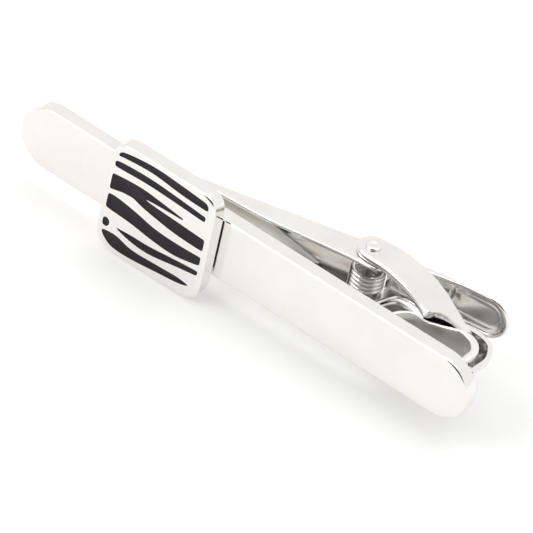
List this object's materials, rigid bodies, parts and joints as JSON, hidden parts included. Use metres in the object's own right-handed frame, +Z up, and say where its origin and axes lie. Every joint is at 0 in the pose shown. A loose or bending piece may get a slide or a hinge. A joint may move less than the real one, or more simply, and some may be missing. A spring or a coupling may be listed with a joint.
{
  "type": "tie clip",
  "caption": "Polished tie clip: a flat round-ended bar with a striped enamel plaque on its front and a sprung alligator jaw on a riveted bracket behind it.",
  "frame": {"origin": "centre of the bar's flat back face", "axes": "+X along the bar away from the plaque, +Y out of the bar's back towards the jaw, +Z up across the bar's width"},
  "size_m": [0.058, 0.0156, 0.014],
  "materials": {
    "polished_plate": "mirror-polished bright plate",
    "sheet_plate": "bright-plated pressed sheet, slightly softer than the bar",
    "rivet_plate": "bright-plated peened rivet",
    "spring_wire": "drawn spring wire",
    "black_enamel": "filled soft enamel, satin",
    "solder": "plated solder"
  },
  "bodies": {
    "bar": {"front_bar": "polished_plate", "plaque": "polished_plate", "base_strap": "sheet_plate", "pivot_bracket": "sheet_plate", "enamel_crown_stripe": "black_enamel", "enamel_brow_stripe": "black_enamel", "enamel_forked_stripe": "black_enamel", "enamel_broad_stripe": "black_enamel", "enamel_dot": "black_enamel", "enamel_slim_stripe": "black_enamel", "enamel_foot_stripe": "black_enamel", "plaque_solder": "solder", "heel_solder": "solder", "pivot_rivet": "rivet_plate", "torsion_spring": "spring_wire"},
    "jaw": {"jaw": "sheet_plate"}
  },
  "joints": [
    {"name": "jaw_open", "type": "hinge", "parent": "bar", "child": "jaw", "pos_m": [0.0097, 0.00715, 0], "axis": [0, 0, -1], "range_deg": [0, 16], "stiffness_Nm_per_rad": 0.02, "springref_deg": -57.3, "deforming": ["torsion_spring"]}
  ]
}
